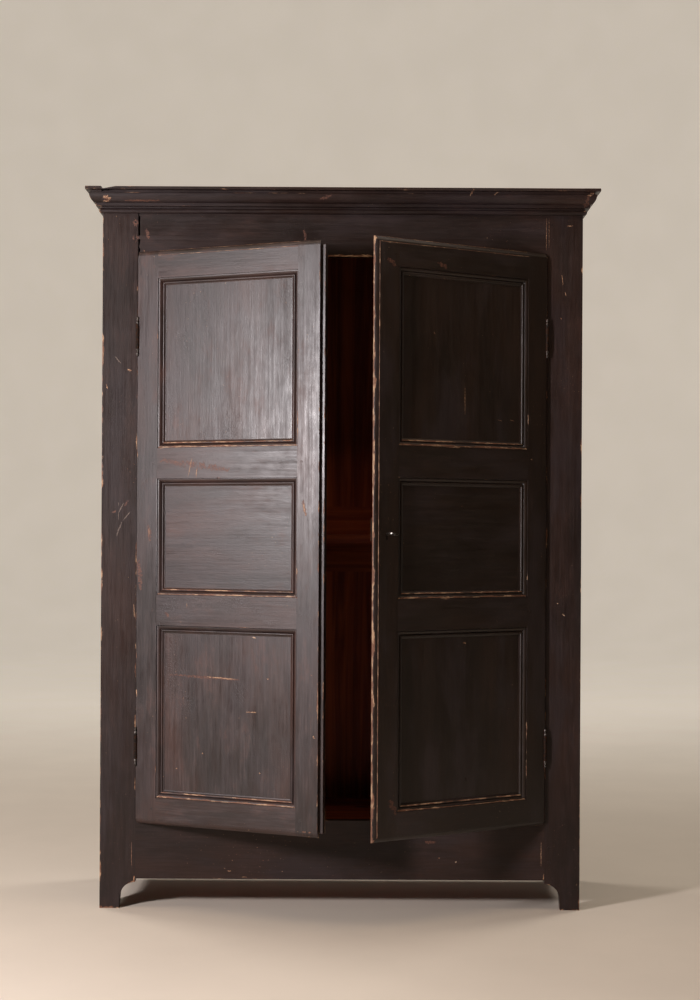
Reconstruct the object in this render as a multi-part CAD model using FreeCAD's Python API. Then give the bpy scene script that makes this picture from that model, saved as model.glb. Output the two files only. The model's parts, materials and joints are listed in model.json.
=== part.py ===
import FreeCAD, Part
import math
import os

# A painted two-door kas cupboard on bracket feet, in millimetres.
# X runs to the right, Y to the back and Z up from the floor.
# Pieces are laid out from the front plane of the face frame, with the doors shut.
# At the end the doors are swung ajar and the whole is set over the origin.

# Carcass
total_height = 1897.0
body_width = 1266.0
body_depth = 430.0
frame_thickness = 25.0
stile_width = 93.0
side_thickness = 20.0
top_board_thickness = 20.0
bottom_rail_clearance = 78.0
bottom_rail_height = 156.0
top_rail_height = 156.0
bottom_board_thickness = 20.0
board_housing_depth = 7.0

# Face frame joints
tenon_length = 55.0
tenon_thickness = 8.0
tenon_shoulder = 14.0
peg_half_width = 4.0
whittled_sides = 8
peg_inset = 12.0
frame_peg_shares = (0.31, 0.55)

# Bracket feet
foot_cove_radius = 40.0
foot_cove_height = 29.0
foot_toe_taper = 2.0
side_front_foot = 45.0
side_back_foot = 60.0

# Back and shelf
back_thickness = 14.0
back_rebate_width = 10.0
back_lap = 8.0
back_board_gap = 1.0
back_board_width_shares = (0.203, 0.177, 0.149, 0.236, 0.235)
back_rail_thickness = 18.0
back_rail_height = 185.0
back_rail_share = 0.57
shelf_height = 987.0
shelf_thickness = 22.0
shelf_setback = 40.0
shelf_play = 0.5
cleat_width = 22.0
cleat_height = 40.0
cleat_setback = 10.0

# Cornice, with the outline as shares of its projection and its height
cornice_height = 65.0
cornice_projection = 42.0
bead_through_shares = (0.23, 0.10)
bead_top_shares = (0.12, 0.20)
ovolo_through_shares = (0.72, 0.57)
ovolo_top_shares = (0.78, 0.78)
cornice_foot_share = 0.08
cornice_fillet_shares = ((0.12, 0.26), (0.40, 0.27), (0.40, 0.39), (0.52, 0.41))
cornice_crown_shares = ((0.68, 0.80), (0.68, 0.87), (1.0, 0.885))

# Doors
door_thickness = 24.5
door_proud = 10.0
lip_clearance = 0.6
lip_overlap_top = 9.0
lip_overlap_bottom = 8.0
door_play = 3.0
hinge_gap = 1.5
meeting_gap = 2.0
meeting_lap = 10.0
meeting_play = 1.0
hinge_stile_width = 61.0
meeting_stile_width = 72.0
door_top_rail_height = 72.0
door_bottom_rail_height = 71.0
cross_rail_height = 80.0
panel_height_shares = (0.3758, 0.2530, 0.3712)
panel_thickness = 8.0
panel_recess = 11.0
panel_clearance = 0.2
panel_play = 1.0
groove_depth = 9.0
door_tenon_length = 42.0
door_tenon_shoulder = 10.0
mortise_play = 2.0
left_rest_angle = 25.0
right_rest_angle = 33.0

# Thumbnail moulding on the door lips
thumb_width = 12.5
thumb_step = 1.8
thumb_drop = 6.0
thumb_nose = 1.0
thumb_through_shares = (0.40, 0.33)

# Panel moulding, with the outline as shares of its width and its height
moulding_width = 20.0
moulding_height = 9.5
moulding_quirk_shares = ((0.0, 0.62), (0.12, 0.62), (0.13, 0.86))
moulding_bead_shares = ((0.29, 1.0), (0.45, 0.86))
moulding_step_shares = (0.46, 0.58)
moulding_splay_shares = (0.84, 0.20)
moulding_edge_shares = (1.0, 0.16)

# Hinges
upper_hinge_drop = 223.0
lower_hinge_rise = 202.0
barrel_length = 64.0
barrel_radius = 4.5
barrel_clearance = 0.5
knuckle_count = 3
knuckle_gap = 0.4
leaf_width = 24.0
leaf_thickness = 1.6
leaf_gap = 0.7
hinge_stand = 1.0
pin_radius = 2.0
finial_radius = 3.6
finial_length = 19.0
finial_outline_shares = ((0.65, 0.0), (1.0, 0.22), (0.45, 0.50), (0.85, 0.74), (0.20, 1.0))

# Lock, key and keeper
key_height = 991.0
key_backset = 38.0
key_tilt = 12.0
key_shank_radius = 3.0
key_stand = 17.0
key_bow_radius = 10.5
key_bow_wire = 2.0
key_collar_radius = 4.2
key_collar_length = 4.0
key_bit_reach = 14.0
key_bit_thickness = 3.0
key_end_gap = 0.5
keyhole_clearance = 0.3
lock_width = 60.0
lock_height = 56.0
lock_depth = 7.5
lock_wall = 1.2
lock_key_rise = 17.0
bolt_height = 16.0
bolt_rise = 12.0
bolt_side_gap = 0.4
bolt_throw = 12.0
bolt_end_gap = 5.0
bolt_length = 56.0
bolt_clearance = 0.3
talon_width = 14.0
talon_lag = 8.75
talon_clearance = 2.0
keeper_wall = 5.0
keeper_setback = 4.0

# Fits and cuts
running_clearance = 0.05
overrun = 5.0

# Places that follow from the sizes above
half_width = body_width / 2
half_opening = half_width - stile_width
side_face = half_width - side_thickness
case_top = total_height - top_board_thickness
opening_bottom = bottom_rail_clearance + bottom_rail_height
opening_top = case_top - top_rail_height
back_face = body_depth - back_thickness
shelf_back = back_face - back_rail_thickness
shelf_under = shelf_height - shelf_thickness
cornice_bottom = total_height - cornice_height
door_face = -door_proud
door_back = door_face + door_thickness
door_bottom = opening_bottom - lip_overlap_bottom
door_top = opening_top + lip_overlap_top
door_width = half_opening - hinge_gap + (meeting_lap - meeting_gap) / 2
hinge_edge = -half_opening + hinge_gap
panel_left = hinge_edge + hinge_stile_width
panel_right = hinge_edge + door_width - meeting_stile_width
free_edge = hinge_edge + door_width
shoulder = free_edge - meeting_lap
lip_back = -lip_clearance
panel_front = door_face + panel_recess
panel_back = panel_front + panel_thickness
plough_front = panel_front - panel_clearance
plough_back = panel_back + panel_clearance
axis_x = -half_opening + hinge_gap / 2
axis_y = door_face - hinge_stand
hinge_levels = (door_bottom + lower_hinge_rise, door_top - upper_hinge_drop)
key_x = free_edge - key_backset
lock_bottom = key_height - lock_key_rise
bolt_bottom = key_height + bolt_rise
bolt_front = door_back + lock_wall + bolt_side_gap
bolt_back = door_back + lock_depth - lock_wall - bolt_side_gap
keeper_width = bolt_throw + bolt_end_gap + keeper_wall

UP = FreeCAD.Vector(0, 0, 1)
ACROSS = FreeCAD.Vector(1, 0, 0)
INWARD = FreeCAD.Vector(0, 1, 0)
MIDDLE = FreeCAD.Vector(0, 0, 0)


def point(x, y, z):
    return FreeCAD.Vector(x, y, z)


def block(x, y, z):
    """A box from its three (low, high) pairs."""
    return Part.makeBox(x[1] - x[0], y[1] - y[0], z[1] - z[0], point(x[0], y[0], z[0]))


def face_of(start, *steps):
    """A flat face round the steps: a point ends a line, and a (through, end) pair ends an arc."""
    edges = []
    here = start
    for step in steps + (start,):
        if isinstance(step, tuple):
            edges.append(Part.Arc(here, step[0], step[1]).toShape())
            here = step[1]
        else:
            edges.append(Part.LineSegment(here, step).toShape())
            here = step
    return Part.Face(Part.Wire(edges))


def rod(radius, x, z, y):
    """A round rod along Y, between its (low, high) pair."""
    return Part.makeCylinder(radius, y[1] - y[0], point(x, y[0], z), INWARD)


def flats(half_width, middle, first, second):
    """The corners of a many-sided bar: its flats lie at the half width from its middle."""
    corner = half_width / math.cos(math.pi / whittled_sides)
    turns = [(2 * side + 1) * math.pi / whittled_sides for side in range(whittled_sides)]
    return [middle + (first * math.cos(turn) + second * math.sin(turn)) * corner for turn in turns]


def peg(half_width, x, z, y):
    """A whittled peg along Y, between its (low, high) pair."""
    return face_of(*flats(half_width, point(x, y[0], z), ACROSS, UP)).extrude(INWARD * (y[1] - y[0]))


def mirrored(shape):
    return shape.mirror(MIDDLE, ACROSS)


# Face frame


def frame_tenon_levels(low, high):
    return (low + tenon_shoulder, high - tenon_shoulder)


def frame_tenon(levels):
    """The left tenon of a rail, or the mortise that takes it."""
    middle = frame_thickness / 2
    half = tenon_thickness / 2
    return block((-half_opening - tenon_length, -half_opening), (middle - half, middle + half), levels)


def frame_peg_places():
    """The (x, z) of the pegs through the left stile."""
    rails = ((bottom_rail_clearance, bottom_rail_height), (opening_top, top_rail_height))
    x = -half_opening - peg_inset
    return [(x, low + height * share) for low, height in rails for share in frame_peg_shares]


def frame_peg_row(half_width):
    return [peg(half_width, x, z, (0, frame_thickness)) for x, z in frame_peg_places()]


def left_stile():
    """The face-frame stile, with its foot coved out below the bottom rail."""
    outer = -half_width
    inner = -half_opening
    neck = inner - foot_cove_radius
    bend = foot_cove_radius * math.sqrt(1 / 2)
    cove = (
        point(inner - bend, 0, foot_cove_height + bend),
        point(inner, 0, foot_cove_height + foot_cove_radius),
    )
    board = face_of(
        point(outer, 0, 0),
        point(neck - foot_toe_taper, 0, 0),
        point(neck, 0, foot_cove_height),
        cove,
        point(inner, 0, case_top),
        point(outer, 0, case_top),
    ).extrude(INWARD * frame_thickness)
    cuts = [
        frame_tenon(frame_tenon_levels(bottom_rail_clearance, opening_bottom)),
        frame_tenon(frame_tenon_levels(opening_top, case_top)),
    ]
    cuts += frame_peg_row(peg_half_width + running_clearance)
    cuts += [hinge_plate(-1, (0, axis_y + leaf_width), level) for level in hinge_levels]
    return board.cut(cuts)


def frame_rail(low, high):
    """A rail of the face frame, with a tenon at each end."""
    tenon = frame_tenon(frame_tenon_levels(low, high))
    board = block((-half_opening, half_opening), (0, frame_thickness), (low, high))
    pegs = frame_peg_row(peg_half_width + running_clearance)
    rail = board.fuse([tenon, mirrored(tenon)])
    return rail.cut(pegs + [mirrored(peg) for peg in pegs]).removeSplitter()


# Sides, boards and back


def left_side():
    """The side board, arched at the foot, housed for the bottom board and rebated for the back."""
    front = frame_thickness
    toe = front + side_front_foot
    heel = body_depth - side_back_foot
    crown = foot_cove_height + foot_cove_radius
    bend = foot_cove_radius * (1 - math.sqrt(1 / 2))
    x = -half_width
    rise = (
        point(x, toe + bend, crown - bend),
        point(x, toe + foot_cove_radius, crown),
    )
    fall = (
        point(x, heel - bend, crown - bend),
        point(x, heel, foot_cove_height),
    )
    board = face_of(
        point(x, front, 0),
        point(x, toe, 0),
        point(x, toe, foot_cove_height),
        rise,
        point(x, heel - foot_cove_radius, crown),
        fall,
        point(x, heel, 0),
        point(x, body_depth, 0),
        point(x, body_depth, case_top),
        point(x, front, case_top),
    ).extrude(ACROSS * side_thickness)
    rebate = block(
        (-half_width + back_rebate_width, -side_face + overrun),
        (back_face, body_depth + overrun),
        (-overrun, case_top + overrun),
    )
    return board.cut([bottom_board(), rebate])


def bottom_board():
    reach = side_face + board_housing_depth
    low = opening_bottom - bottom_board_thickness
    return block((-reach, reach), (frame_thickness, back_face), (low, opening_bottom))


def top_board():
    return block((-half_width, half_width), (0, body_depth), (case_top, total_height))


def middle_shelf():
    reach = side_face - shelf_play
    return block((-reach, reach), (shelf_setback, shelf_back), (shelf_under, shelf_height))


def left_shelf_cleat():
    return block(
        (-side_face, -side_face + cleat_width),
        (shelf_setback + cleat_setback, shelf_back),
        (shelf_under - cleat_height, shelf_under),
    )


def back_rail():
    """The rail behind the shelf, which the back boards are nailed to."""
    low = shelf_height - back_rail_height * back_rail_share
    return block((-side_face, side_face), (shelf_back, back_face), (low, low + back_rail_height))


def back_board(index):
    """One upright back board: its left edge laps in front of its neighbour, its right edge behind."""
    reach = half_width - back_rebate_width
    seams = [-reach + 2 * reach * sum(back_board_width_shares[:i]) for i in range(index, index + 2)]
    half_lap = back_lap / 2
    split = back_face + back_thickness / 2
    first = index == 0
    last = index == len(back_board_width_shares) - 1
    left_front = seams[0] if first else seams[0] - half_lap + back_board_gap
    left_back = seams[0] if first else seams[0] + half_lap + back_board_gap
    right_front = reach if last else seams[1] - half_lap
    right_back = reach if last else seams[1] + half_lap
    levels = (bottom_rail_clearance, case_top)
    front = block((left_front, right_front), (back_face, split), levels)
    back = block((left_back, right_back), (split, body_depth), levels)
    return front.fuse(back).removeSplitter()


# Cornice


def cornice_face(place):
    """The cornice outline: a foot bead, a fillet, a broad ovolo, a groove and the crown fillet."""
    def at(shares):
        return place(cornice_projection * shares[0], cornice_bottom + cornice_height * shares[1])
    return face_of(
        at((0, 0)),
        at((cornice_foot_share, 0)),
        (at(bead_through_shares), at(bead_top_shares)),
        *[at(shares) for shares in cornice_fillet_shares],
        (at(ovolo_through_shares), at(ovolo_top_shares)),
        *[at(shares) for shares in cornice_crown_shares],
        at((1, 1)),
        at((0, 1)),
    )


def cornice_front():
    """The front length, butted between the two side lengths."""
    face = cornice_face(lambda away, level: point(-half_width, -away, level))
    return face.extrude(ACROSS * body_width)


def cornice_left():
    """The side length, which runs past the front and is worked to the same outline at that end."""
    out = half_width + cornice_projection
    start = -cornice_projection
    side_outline = cornice_face(lambda away, level: point(-half_width - away, start, level))
    end_outline = cornice_face(lambda away, level: point(-out, -away, level))
    length = block((-out, -half_width), (0, body_depth), (cornice_bottom, total_height))
    worked = length.fuse(end_outline.extrude(ACROSS * cornice_projection))
    return side_outline.extrude(INWARD * (body_depth - start)).common(worked).removeSplitter()


# Doors, laid out shut at the left of the opening


def door_rail_levels():
    """The (low, high) levels of the four rails, from the bottom up."""
    rails = (door_bottom_rail_height, cross_rail_height, cross_rail_height, door_top_rail_height)
    free_height = door_top - door_bottom - sum(rails)
    levels = []
    low = door_bottom
    for rail, share in zip(rails, panel_height_shares + (0,)):
        levels.append((low, low + rail))
        low += rail + free_height * share
    return levels


def door_panel_levels():
    """The (low, high) sight levels of the three panels, from the bottom up."""
    rails = door_rail_levels()
    return [(below[1], above[0]) for below, above in zip(rails, rails[1:])]


def thumbnail(place, run):
    """What the thumbnail moulding takes off an edge: place maps (from the edge, from the face)."""
    inset = thumb_width - thumb_nose
    through = (inset * thumb_through_shares[0], thumb_step + thumb_drop * thumb_through_shares[1])
    edge = thumb_step + thumb_drop
    return face_of(
        place(-overrun, -overrun),
        place(thumb_width, -overrun),
        place(thumb_width, thumb_step),
        place(inset, thumb_step),
        (place(*through), place(0, edge)),
        place(-overrun, edge),
    ).extrude(run)


def door_trim(lipped):
    """What is planed off a door: moulded lips and the rebate behind them, or the tongue's shoulder."""
    wide = (hinge_edge - overrun, free_edge + overrun)
    deep = (lip_back, door_back + overrun)
    run = ACROSS * (wide[1] - wide[0])
    cuts = [
        thumbnail(lambda e, d: point(wide[0], door_face + d, door_top - e), run),
        thumbnail(lambda e, d: point(wide[0], door_face + d, door_bottom + e), run),
        block(wide, deep, (opening_top - door_play, door_top + overrun)),
        block(wide, deep, (door_bottom - overrun, opening_bottom + door_play)),
    ]
    tall = (door_bottom - overrun, door_top + overrun)
    if lipped:
        rise = UP * (tall[1] - tall[0])
        cuts.append(thumbnail(lambda e, d: point(free_edge - e, door_face + d, tall[0]), rise))
        cuts.append(block((shoulder, free_edge + overrun), deep, tall))
    else:
        front = (door_face - overrun, lip_back + meeting_play)
        cuts.append(block((shoulder, free_edge + overrun), front, tall))
    return cuts


def door_tenon_span(levels):
    """The levels of a door rail's tenon, inside the rebates at the door's ends."""
    low = max(levels[0], opening_bottom + door_play)
    high = min(levels[1], opening_top - door_play)
    return (low + door_tenon_shoulder, high - door_tenon_shoulder)


def door_mortises():
    deep = door_tenon_length + mortise_play
    ends = ((panel_left - deep, panel_left), (panel_right, panel_right + deep))
    plough = (plough_front, plough_back)
    return [block(x, plough, door_tenon_span(levels)) for levels in door_rail_levels() for x in ends]


def door_grooves():
    """The panel grooves, ploughed round each sight opening."""
    x = (panel_left - groove_depth, panel_right + groove_depth)
    plough = (plough_front, plough_back)
    return [
        block(x, plough, (low - groove_depth, high + groove_depth))
        for low, high in door_panel_levels()
    ]


def door_peg_row(half_width):
    row = []
    for levels in door_rail_levels():
        middle = sum(door_tenon_span(levels)) / 2
        for x in (panel_left - peg_inset, panel_right + peg_inset):
            row.append(peg(half_width, x, middle, (door_face, door_back)))
    return row


def door_stiles(lipped):
    tall = (door_bottom, door_top)
    deep = (door_face, door_back)
    cuts = door_trim(lipped) + door_mortises() + door_grooves()
    cuts += door_peg_row(peg_half_width + running_clearance)
    hinge_stile = block((hinge_edge, panel_left), deep, tall)
    meeting_stile = block((panel_right, free_edge), deep, tall)
    if lipped:
        meeting_stile = meeting_stile.cut(keyhole((door_face, door_back)))
    return hinge_stile.cut(cuts + door_hinge_cuts()), meeting_stile.cut(cuts)


def door_rails(lipped):
    cuts = door_trim(lipped) + door_grooves()
    bores = door_peg_row(peg_half_width + running_clearance)
    if lipped:
        bores += keyhole((door_face, door_back))
    reach = (panel_left - door_tenon_length, panel_right + door_tenon_length)
    rails = []
    for levels in door_rail_levels():
        board = block((panel_left, panel_right), (door_face, door_back), levels).cut(cuts)
        tenon = block(reach, (plough_front, plough_back), door_tenon_span(levels))
        rails.append(board.fuse(tenon.cut(door_grooves_between())).cut(bores).removeSplitter())
    return rails


def door_grooves_between():
    """The grooves in the rails alone, between the stiles."""
    between = block((panel_left, panel_right), (plough_front, plough_back), (door_bottom, door_top))
    return [groove.common(between) for groove in door_grooves()]


def door_panels():
    reach = groove_depth - panel_play
    x = (panel_left - reach, panel_right + reach)
    y = (panel_front, panel_back)
    return [block(x, y, (low - reach, high + reach)) for low, high in door_panel_levels()]


def moulding_strip(first, last, inward):
    """One mitred strip along a side of a sight opening, standing on the panel."""
    along = (last - first).normalize()

    def at(shares):
        return first + inward * (moulding_width * shares[0]) - INWARD * (moulding_height * shares[1])

    profile = face_of(
        at((0, 0)),
        *[at(shares) for shares in moulding_quirk_shares],
        (at(moulding_bead_shares[0]), at(moulding_bead_shares[1])),
        at(moulding_step_shares),
        at(moulding_splay_shares),
        at(moulding_edge_shares),
        at((1, 0)),
    )
    run = profile.extrude(last - first)
    mitre = (inward + along) * moulding_width
    far_mitre = (inward - along) * moulding_width
    plan = face_of(first, last, last + far_mitre, first + mitre)
    return run.common(plan.extrude(INWARD * -moulding_height))


def door_mouldings():
    """The three sets of four strips, from the bottom up."""
    sets = []
    for low, high in door_panel_levels():
        corners = [
            point(panel_left, panel_front, low),
            point(panel_right, panel_front, low),
            point(panel_right, panel_front, high),
            point(panel_left, panel_front, high),
        ]
        inward = (UP, -ACROSS, -UP, ACROSS)
        ends = corners[1:] + corners[:1]
        sets.append([moulding_strip(*side) for side in zip(corners, ends, inward)])
    return sets


# Butt hinges, at the left of the opening


def hinge_span(level):
    return (level - barrel_length / 2, level + barrel_length / 2)


def hinge_plate(side, y, level):
    """A leaf's plate between two depths: side is -1 for the frame leaf and 1 for the door leaf."""
    near = axis_x + side * leaf_gap / 2
    far = near + side * leaf_thickness
    return block(sorted((near, far)), y, hinge_span(level))


def barrel(radius, low, high):
    return Part.makeCylinder(radius, high - low, point(axis_x, axis_y, low), UP)


def hinge_leaf(side, level):
    """One leaf with its knuckles: the frame leaf has the odd ones and the door leaf the even ones."""
    low, high = hinge_span(level)
    pitch = (high - low) / knuckle_count
    root = axis_y + barrel_radius + barrel_clearance
    leaf = hinge_plate(side, (root, axis_y + leaf_width), level)
    pieces = []
    for index in range(0 if side < 0 else 1, knuckle_count, 2):
        start = low + index * pitch + (knuckle_gap if index else 0)
        stop = low + (index + 1) * pitch
        slab = block((axis_x - barrel_radius, axis_x + barrel_radius), (axis_y, root), (start, stop))
        neck = hinge_plate(side, (axis_y, root), level).common(slab)
        pieces += [barrel(barrel_radius, start, stop), neck]
    bore = barrel(pin_radius + running_clearance, low - overrun, high + overrun)
    return leaf.fuse(pieces).cut(bore).removeSplitter()


def finial(end, outward):
    """The tip of a pin, filed to two faceted beads."""
    rings = []
    for half_share, rise_share in finial_outline_shares:
        middle = point(axis_x, axis_y, end + outward * finial_length * rise_share)
        corners = flats(finial_radius * half_share, middle, ACROSS, INWARD)
        rings.append(Part.makePolygon(corners + corners[:1]))
    return Part.makeLoft(rings, True, True)


def hinge_pin(level):
    """The loose pin, with a tip at each end."""
    low, high = hinge_span(level)
    ends = (low - knuckle_gap, high + knuckle_gap)
    return barrel(pin_radius, *ends).fuse([finial(ends[0], -1), finial(ends[1], 1)]).removeSplitter()


def door_hinge_cuts():
    """The leaf recesses and the notches for the barrels in a door's hinge stile."""
    reach = finial_length + 2 * knuckle_gap
    hollow = barrel_radius + barrel_clearance
    cuts = []
    for level in hinge_levels:
        low, high = hinge_span(level)
        cuts.append(hinge_plate(1, (axis_y, axis_y + leaf_width), level))
        cuts.append(block(
            (hinge_edge - overrun, axis_x + hollow),
            (door_face - overrun, axis_y + hollow),
            (low - reach, high + reach),
        ))
    return cuts


# Lock, laid out on a door shut at the left of the opening


def keyhole(y):
    """A round hole with a slot below it, as deep as its (low, high) pair."""
    half_slot = key_bit_thickness / 2 + keyhole_clearance
    slot_end = key_height - key_bit_reach - keyhole_clearance
    slot = block((key_x - half_slot, key_x + half_slot), y, (slot_end, key_height))
    return [rod(key_shank_radius + keyhole_clearance, key_x, key_height, y), slot]


def bolt_section(clearance, x):
    return block(
        x,
        (bolt_front - clearance, bolt_back + clearance),
        (bolt_bottom - clearance, bolt_bottom + bolt_height + clearance),
    )


def lock_case():
    """A hollow case on the door's back, open at the keyhole and where the bolt comes out."""
    x = (shoulder - lock_width, shoulder)
    y = (door_back, door_back + lock_depth)
    z = (lock_bottom, lock_bottom + lock_height)
    inside = [(low + lock_wall, high - lock_wall) for low, high in (x, y, z)]
    mouth = bolt_section(bolt_clearance, (shoulder - lock_width / 2, shoulder + overrun))
    return block(x, y, z).cut([block(*inside), mouth] + keyhole((door_back, door_back + lock_wall)))


def lock_bolt():
    """The bolt, drawn back to the door's shoulder, with the notch that the key's bit works in."""
    talon = key_x - talon_lag
    notch = block(
        (talon - talon_width / 2, talon + talon_width / 2),
        (bolt_front - overrun, bolt_back + overrun),
        (bolt_bottom - overrun, key_height + key_bit_reach + talon_clearance),
    )
    return bolt_section(0, (shoulder - bolt_length, shoulder)).cut(notch)


def lock_key():
    """The key in the lock, with its bow turned near level and its bit away from the bolt's throw."""
    bow_y = door_face - key_stand - key_bow_radius
    shank_start = bow_y + key_bow_radius
    shank_end = door_back + lock_depth - lock_wall - key_end_gap
    collar = door_face - key_collar_length
    bow_low = point(key_x, bow_y, key_height - key_bow_wire)
    bow = Part.makeCylinder(key_bow_radius + key_bow_wire, 2 * key_bow_wire, bow_low, UP)
    eye = Part.makeCylinder(key_bow_radius - key_bow_wire, 2 * key_bow_wire, bow_low, UP)
    bit = block(
        (key_x - key_bit_reach, key_x),
        (bolt_front, bolt_back),
        (key_height - key_bit_thickness / 2, key_height + key_bit_thickness / 2),
    )
    key = rod(key_shank_radius, key_x, key_height, (shank_start, shank_end)).fuse([
        bow.cut(eye),
        rod(key_collar_radius, key_x, key_height, (collar - key_collar_length, collar)),
        bit,
    ])
    return key.removeSplitter().rotated(point(key_x, 0, key_height), INWARD, -key_tilt)


def lock_keeper():
    """The keeper on the other door's back, with the pocket that takes the bolt."""
    edge = free_edge - keeper_setback
    low = bolt_bottom - bolt_side_gap
    high = bolt_bottom + bolt_height + bolt_side_gap
    pocket = block(
        (edge - keeper_width + keeper_wall, edge + overrun),
        (door_back + lock_wall, door_back + lock_depth - lock_wall),
        (low, high),
    )
    return block(
        (edge - keeper_width, edge),
        (door_back, door_back + lock_depth),
        (low - keeper_wall, high + keeper_wall),
    ).cut(pocket)


# Assembly


def swing(shape, side):
    """Set a door piece ajar on its own side of the cupboard."""
    if side == "left":
        return shape.rotated(point(axis_x, axis_y, 0), UP, -left_rest_angle)
    return mirrored(shape).rotated(point(-axis_x, axis_y, 0), UP, right_rest_angle)


def carcass_nodes():
    pegs = frame_peg_row(peg_half_width)
    nodes = {
        "top_rail": frame_rail(opening_top, case_top),
        "bottom_rail": frame_rail(bottom_rail_clearance, opening_bottom),
        "top_board": top_board(),
        "bottom_board": bottom_board(),
        "middle_shelf": middle_shelf(),
        "back_rail": back_rail(),
        "cornice_front": cornice_front(),
        "frame_pegs": Part.makeCompound(pegs + [mirrored(peg) for peg in pegs]),
    }
    pairs = {
        "stile": left_stile(),
        "side": left_side(),
        "shelf_cleat": left_shelf_cleat(),
        "cornice": cornice_left(),
        "frame_leaves": Part.makeCompound([hinge_leaf(-1, level) for level in hinge_levels]),
        "hinge_pins": Part.makeCompound([hinge_pin(level) for level in hinge_levels]),
    }
    for name, shape in pairs.items():
        nodes["left_" + name] = shape
        nodes["right_" + name] = mirrored(shape)
    for index in range(len(back_board_width_shares)):
        nodes[f"back_board_{index + 1}"] = back_board(index)
    return nodes


def door_nodes(side):
    lipped = side == "right"
    hinge_stile, meeting_stile = door_stiles(lipped)
    pieces = {
        "hinge_stile": hinge_stile,
        "meeting_stile": meeting_stile,
        "pegs": Part.makeCompound(door_peg_row(peg_half_width)),
        "hinge_leaves": Part.makeCompound([hinge_leaf(1, level) for level in hinge_levels]),
    }
    for name, rail in zip(("bottom_rail", "lower_rail", "upper_rail", "top_rail"), door_rails(lipped)):
        pieces[name] = rail
    for name, panel, strips in zip(("bottom", "middle", "top"), door_panels(), door_mouldings()):
        pieces[name + "_panel"] = panel
        pieces[name + "_moulding"] = Part.makeCompound(strips)
    nodes = {f"{side}_door_{name}": swing(shape, side) for name, shape in pieces.items()}
    if lipped:
        for piece in (lock_case, lock_bolt, lock_key):
            nodes[piece.__name__] = swing(piece(), side)
    else:
        nodes["lock_keeper"] = swing(lock_keeper(), side)
    return nodes


nodes = carcass_nodes()
nodes.update(door_nodes("left"))
nodes.update(door_nodes("right"))

# The origin is on the floor, at the middle of the width and of the depth with the doors ajar.
whole = Part.makeCompound(list(nodes.values())).BoundBox
origin_shift = point(0, -(whole.YMin + whole.YMax) / 2, 0)

os.makedirs("parts", exist_ok=True)
for name, shape in nodes.items():
    shape.translated(origin_shift).exportStep(f"parts/{name}.step")
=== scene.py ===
import json
import math
import random
from collections import namedtuple

import bmesh
import bpy
import numpy as np
from mathutils import Matrix, Vector
from mathutils.bvhtree import BVHTree


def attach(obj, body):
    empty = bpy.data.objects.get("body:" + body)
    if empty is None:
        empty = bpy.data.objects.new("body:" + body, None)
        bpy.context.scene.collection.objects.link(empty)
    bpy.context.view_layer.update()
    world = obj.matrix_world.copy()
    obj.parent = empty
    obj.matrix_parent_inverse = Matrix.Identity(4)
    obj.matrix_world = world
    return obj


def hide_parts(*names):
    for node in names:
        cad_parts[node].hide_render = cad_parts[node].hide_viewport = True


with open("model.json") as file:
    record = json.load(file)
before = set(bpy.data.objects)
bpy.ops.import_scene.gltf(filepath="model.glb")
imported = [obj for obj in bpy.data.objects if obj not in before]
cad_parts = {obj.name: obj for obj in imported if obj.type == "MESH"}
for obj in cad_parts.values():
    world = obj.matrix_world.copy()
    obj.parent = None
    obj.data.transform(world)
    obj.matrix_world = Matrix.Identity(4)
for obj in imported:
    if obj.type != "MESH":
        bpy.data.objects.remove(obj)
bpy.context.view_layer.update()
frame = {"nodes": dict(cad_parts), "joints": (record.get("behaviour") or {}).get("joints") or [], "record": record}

scene = bpy.context.scene
joints = {joint["name"]: joint for joint in frame["joints"]}
members = frame["record"]["behaviour"]["bodies"]
body_of = {node: body for body, nodes in members.items() for node in nodes}

# Camera, fitted to the photograph: a lens in 35 mm terms, a small lift of the frame and a slight roll
CAMERA_PLACE = (0.0228, -4.883, 1.003)
CAMERA_SENSOR = 36.0
CAMERA_LENS = 65.9
CAMERA_SHIFT = 0.029
CAMERA_ROLL = 0.0053
CAMERA_TURN = Matrix.Rotation(math.pi / 2, 4, "X") @ Matrix.Rotation(CAMERA_ROLL, 4, "Z")
PHOTO_SIZE_PX = (700, 1000)

# Lamps, each with its place, aim, size, power and colour, and a dim warm room
LAMPS = {
    "key": ((-2.20, -2.40, 1.47), (0.0, 0.0, 1.05), (0.34, 0.46), 116.0, (1.0, 0.93, 0.945)),
    "fill": ((0.5, -5.5, 2.9), (0.0, 0.0, 0.9), (2.4, 1.6), 1.5, (1.0, 0.82, 0.64)),
    "ceiling": ((0.0, -0.80, 3.1), (0.0, -0.55, 0.0), (4.6, 0.9), 30.0, (1.0, 0.78, 0.58)),
    "rear_left": ((-2.9, 2.0, 3.8), (0.0, 0.25, 1.0), (1.4, 1.4), 66.0, (1.0, 0.93, 0.86)),
    "rear_right": ((2.9, 2.0, 3.8), (0.0, 0.25, 1.0), (1.4, 1.4), 66.0, (1.0, 0.93, 0.86)),
}
ROOM_LIGHT = (1.0, 0.80, 0.60)
ROOM_STRENGTH = 0.01

# Stage: its colour, its glow from one depth to another behind the part, and its form
STAGE_COLOUR = (0.67, 0.60, 0.51)
STAGE_DIMMING = 0.965
STAGE_FIELD = ((3.0, 3.0, 3.0), 4.0)
STAGE_SHADE_SPAN = (0.3, 0.7)
STAGE_ROUGHNESS = 0.7
STAGE_GLOW_SPAN = (0.8, 6.0, 0.0, 0.75)
STAGE_RADIUS = 9.0
STAGE_BEND = 2.5
STAGE_HEIGHT = 9.0
STAGE_BENDS = 12
STAGE_SIDES = 96

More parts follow.
